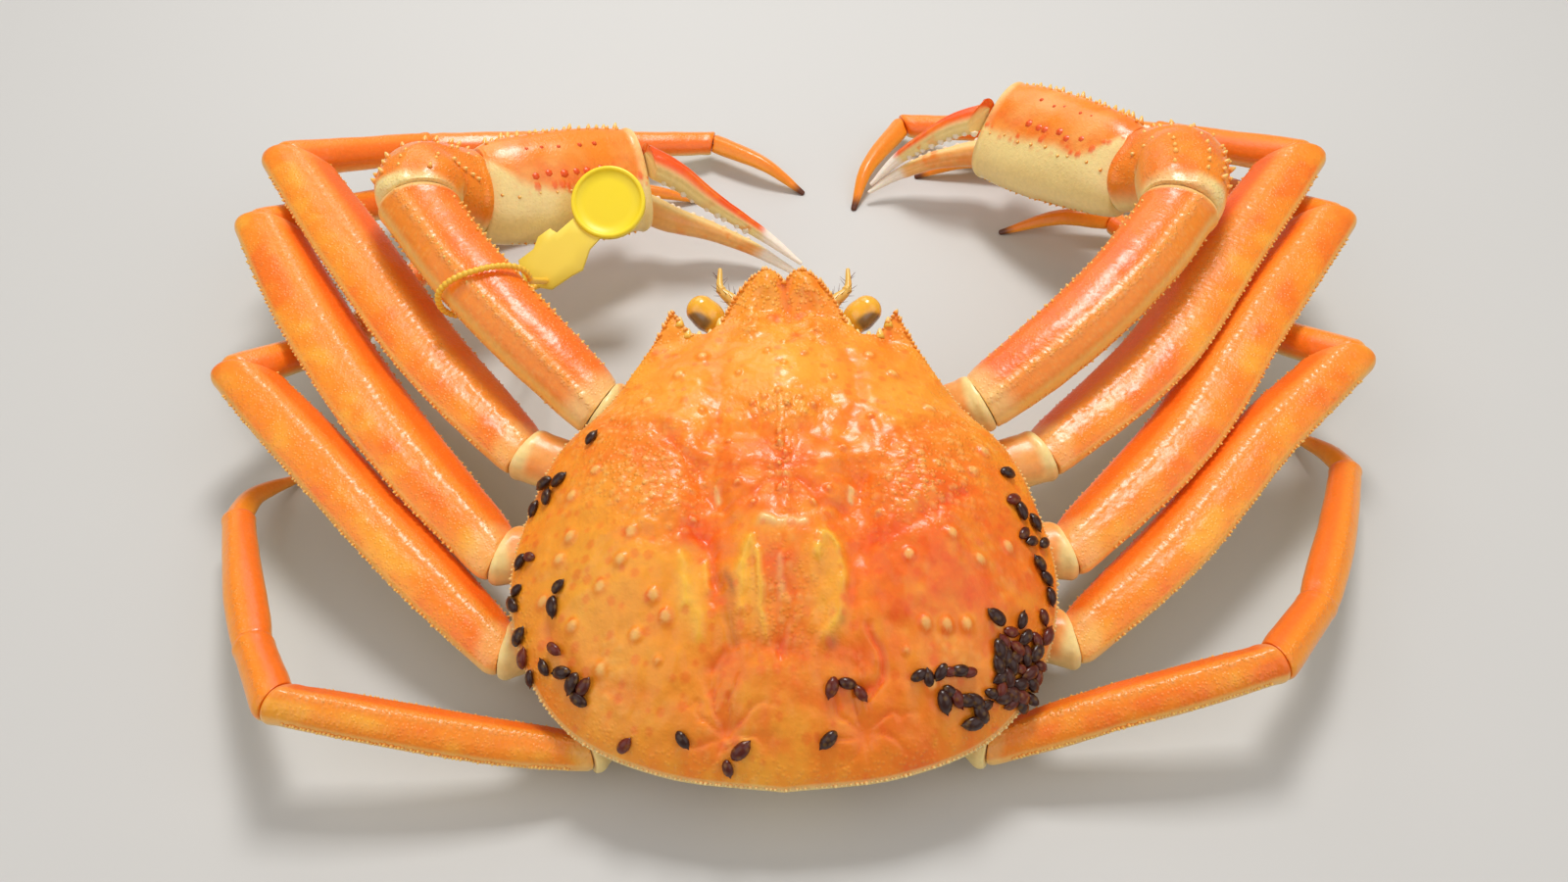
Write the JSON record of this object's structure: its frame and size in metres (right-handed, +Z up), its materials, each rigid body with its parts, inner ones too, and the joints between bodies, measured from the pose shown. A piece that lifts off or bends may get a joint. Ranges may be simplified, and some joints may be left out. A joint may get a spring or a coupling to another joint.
{
  "type": "snow crab, still life-size model",
  "caption": "Whole cooked snow crab at rest with its long flat legs folded forward beside the head, both claws in front and a plain tag on the left claw.",
  "frame": {"origin": "on the floor, on the flat underside of the folded abdomen, below the middle of the carapace", "axes": "+Y towards the head, +X towards the crab's right side, +Z up out of the back"},
  "size_m": [0.3521, 0.2809, 0.0671],
  "materials": {
    "carapace_shell": "orange shell, wet gloss over fine granules",
    "limb_shell": "red-orange shell with pale edges, glossy",
    "claw_shell": "orange above and cream below, glossy",
    "pale_shell": "cream underside shell and joint skin, satin",
    "toe_shell": "yellow-brown toe shell with dark tips",
    "eye": "glossy stalked eye with a grey-brown cornea",
    "tag_plastic": "yellow moulded plastic"
  },
  "bodies": {
    "root": {"carapace": "carapace_shell", "sternum": "pale_shell", "abdomen": "pale_shell", "eye_right": "eye", "antenna_right": "pale_shell", "maxilliped_right": "pale_shell", "claw_right_base": "pale_shell", "claw_right_merus": "limb_shell", "claw_right_carpus": "limb_shell", "claw_right_palm": "claw_shell", "claw_right_finger": "claw_shell", "leg_right_1_base": "pale_shell", "leg_right_1_merus": "limb_shell", "leg_right_1_carpus": "limb_shell", "leg_right_1_propodus": "limb_shell", "leg_right_1_dactyl": "toe_shell", "leg_right_2_base": "pale_shell", "leg_right_2_merus": "limb_shell", "leg_right_2_carpus": "limb_shell", "leg_right_2_propodus": "limb_shell", "leg_right_2_dactyl": "toe_shell", "leg_right_3_base": "pale_shell", "leg_right_3_merus": "limb_shell", "leg_right_3_carpus": "limb_shell", "leg_right_3_propodus": "limb_shell", "leg_right_3_dactyl": "toe_shell", "leg_right_4_base": "pale_shell", "leg_right_4_merus": "limb_shell", "leg_right_4_carpus": "limb_shell", "leg_right_4_propodus": "limb_shell", "leg_right_4_dactyl": "toe_shell", "eye_left": "eye", "antenna_left": "pale_shell", "maxilliped_left": "pale_shell", "claw_left_base": "pale_shell", "claw_left_merus": "limb_shell", "claw_left_carpus": "limb_shell", "claw_left_palm": "claw_shell", "claw_left_finger": "claw_shell", "leg_left_1_base": "pale_shell", "leg_left_1_merus": "limb_shell", "leg_left_1_carpus": "limb_shell", "leg_left_1_propodus": "limb_shell", "leg_left_1_dactyl": "toe_shell", "leg_left_2_base": "pale_shell", "leg_left_2_merus": "limb_shell", "leg_left_2_carpus": "limb_shell", "leg_left_2_propodus": "limb_shell", "leg_left_2_dactyl": "toe_shell", "leg_left_3_base": "pale_shell", "leg_left_3_merus": "limb_shell", "leg_left_3_carpus": "limb_shell", "leg_left_3_propodus": "limb_shell", "leg_left_3_dactyl": "toe_shell", "leg_left_4_base": "pale_shell", "leg_left_4_merus": "limb_shell", "leg_left_4_carpus": "limb_shell", "leg_left_4_propodus": "limb_shell", "leg_left_4_dactyl": "toe_shell", "tag": "tag_plastic"}
  },
  "joints": []
}
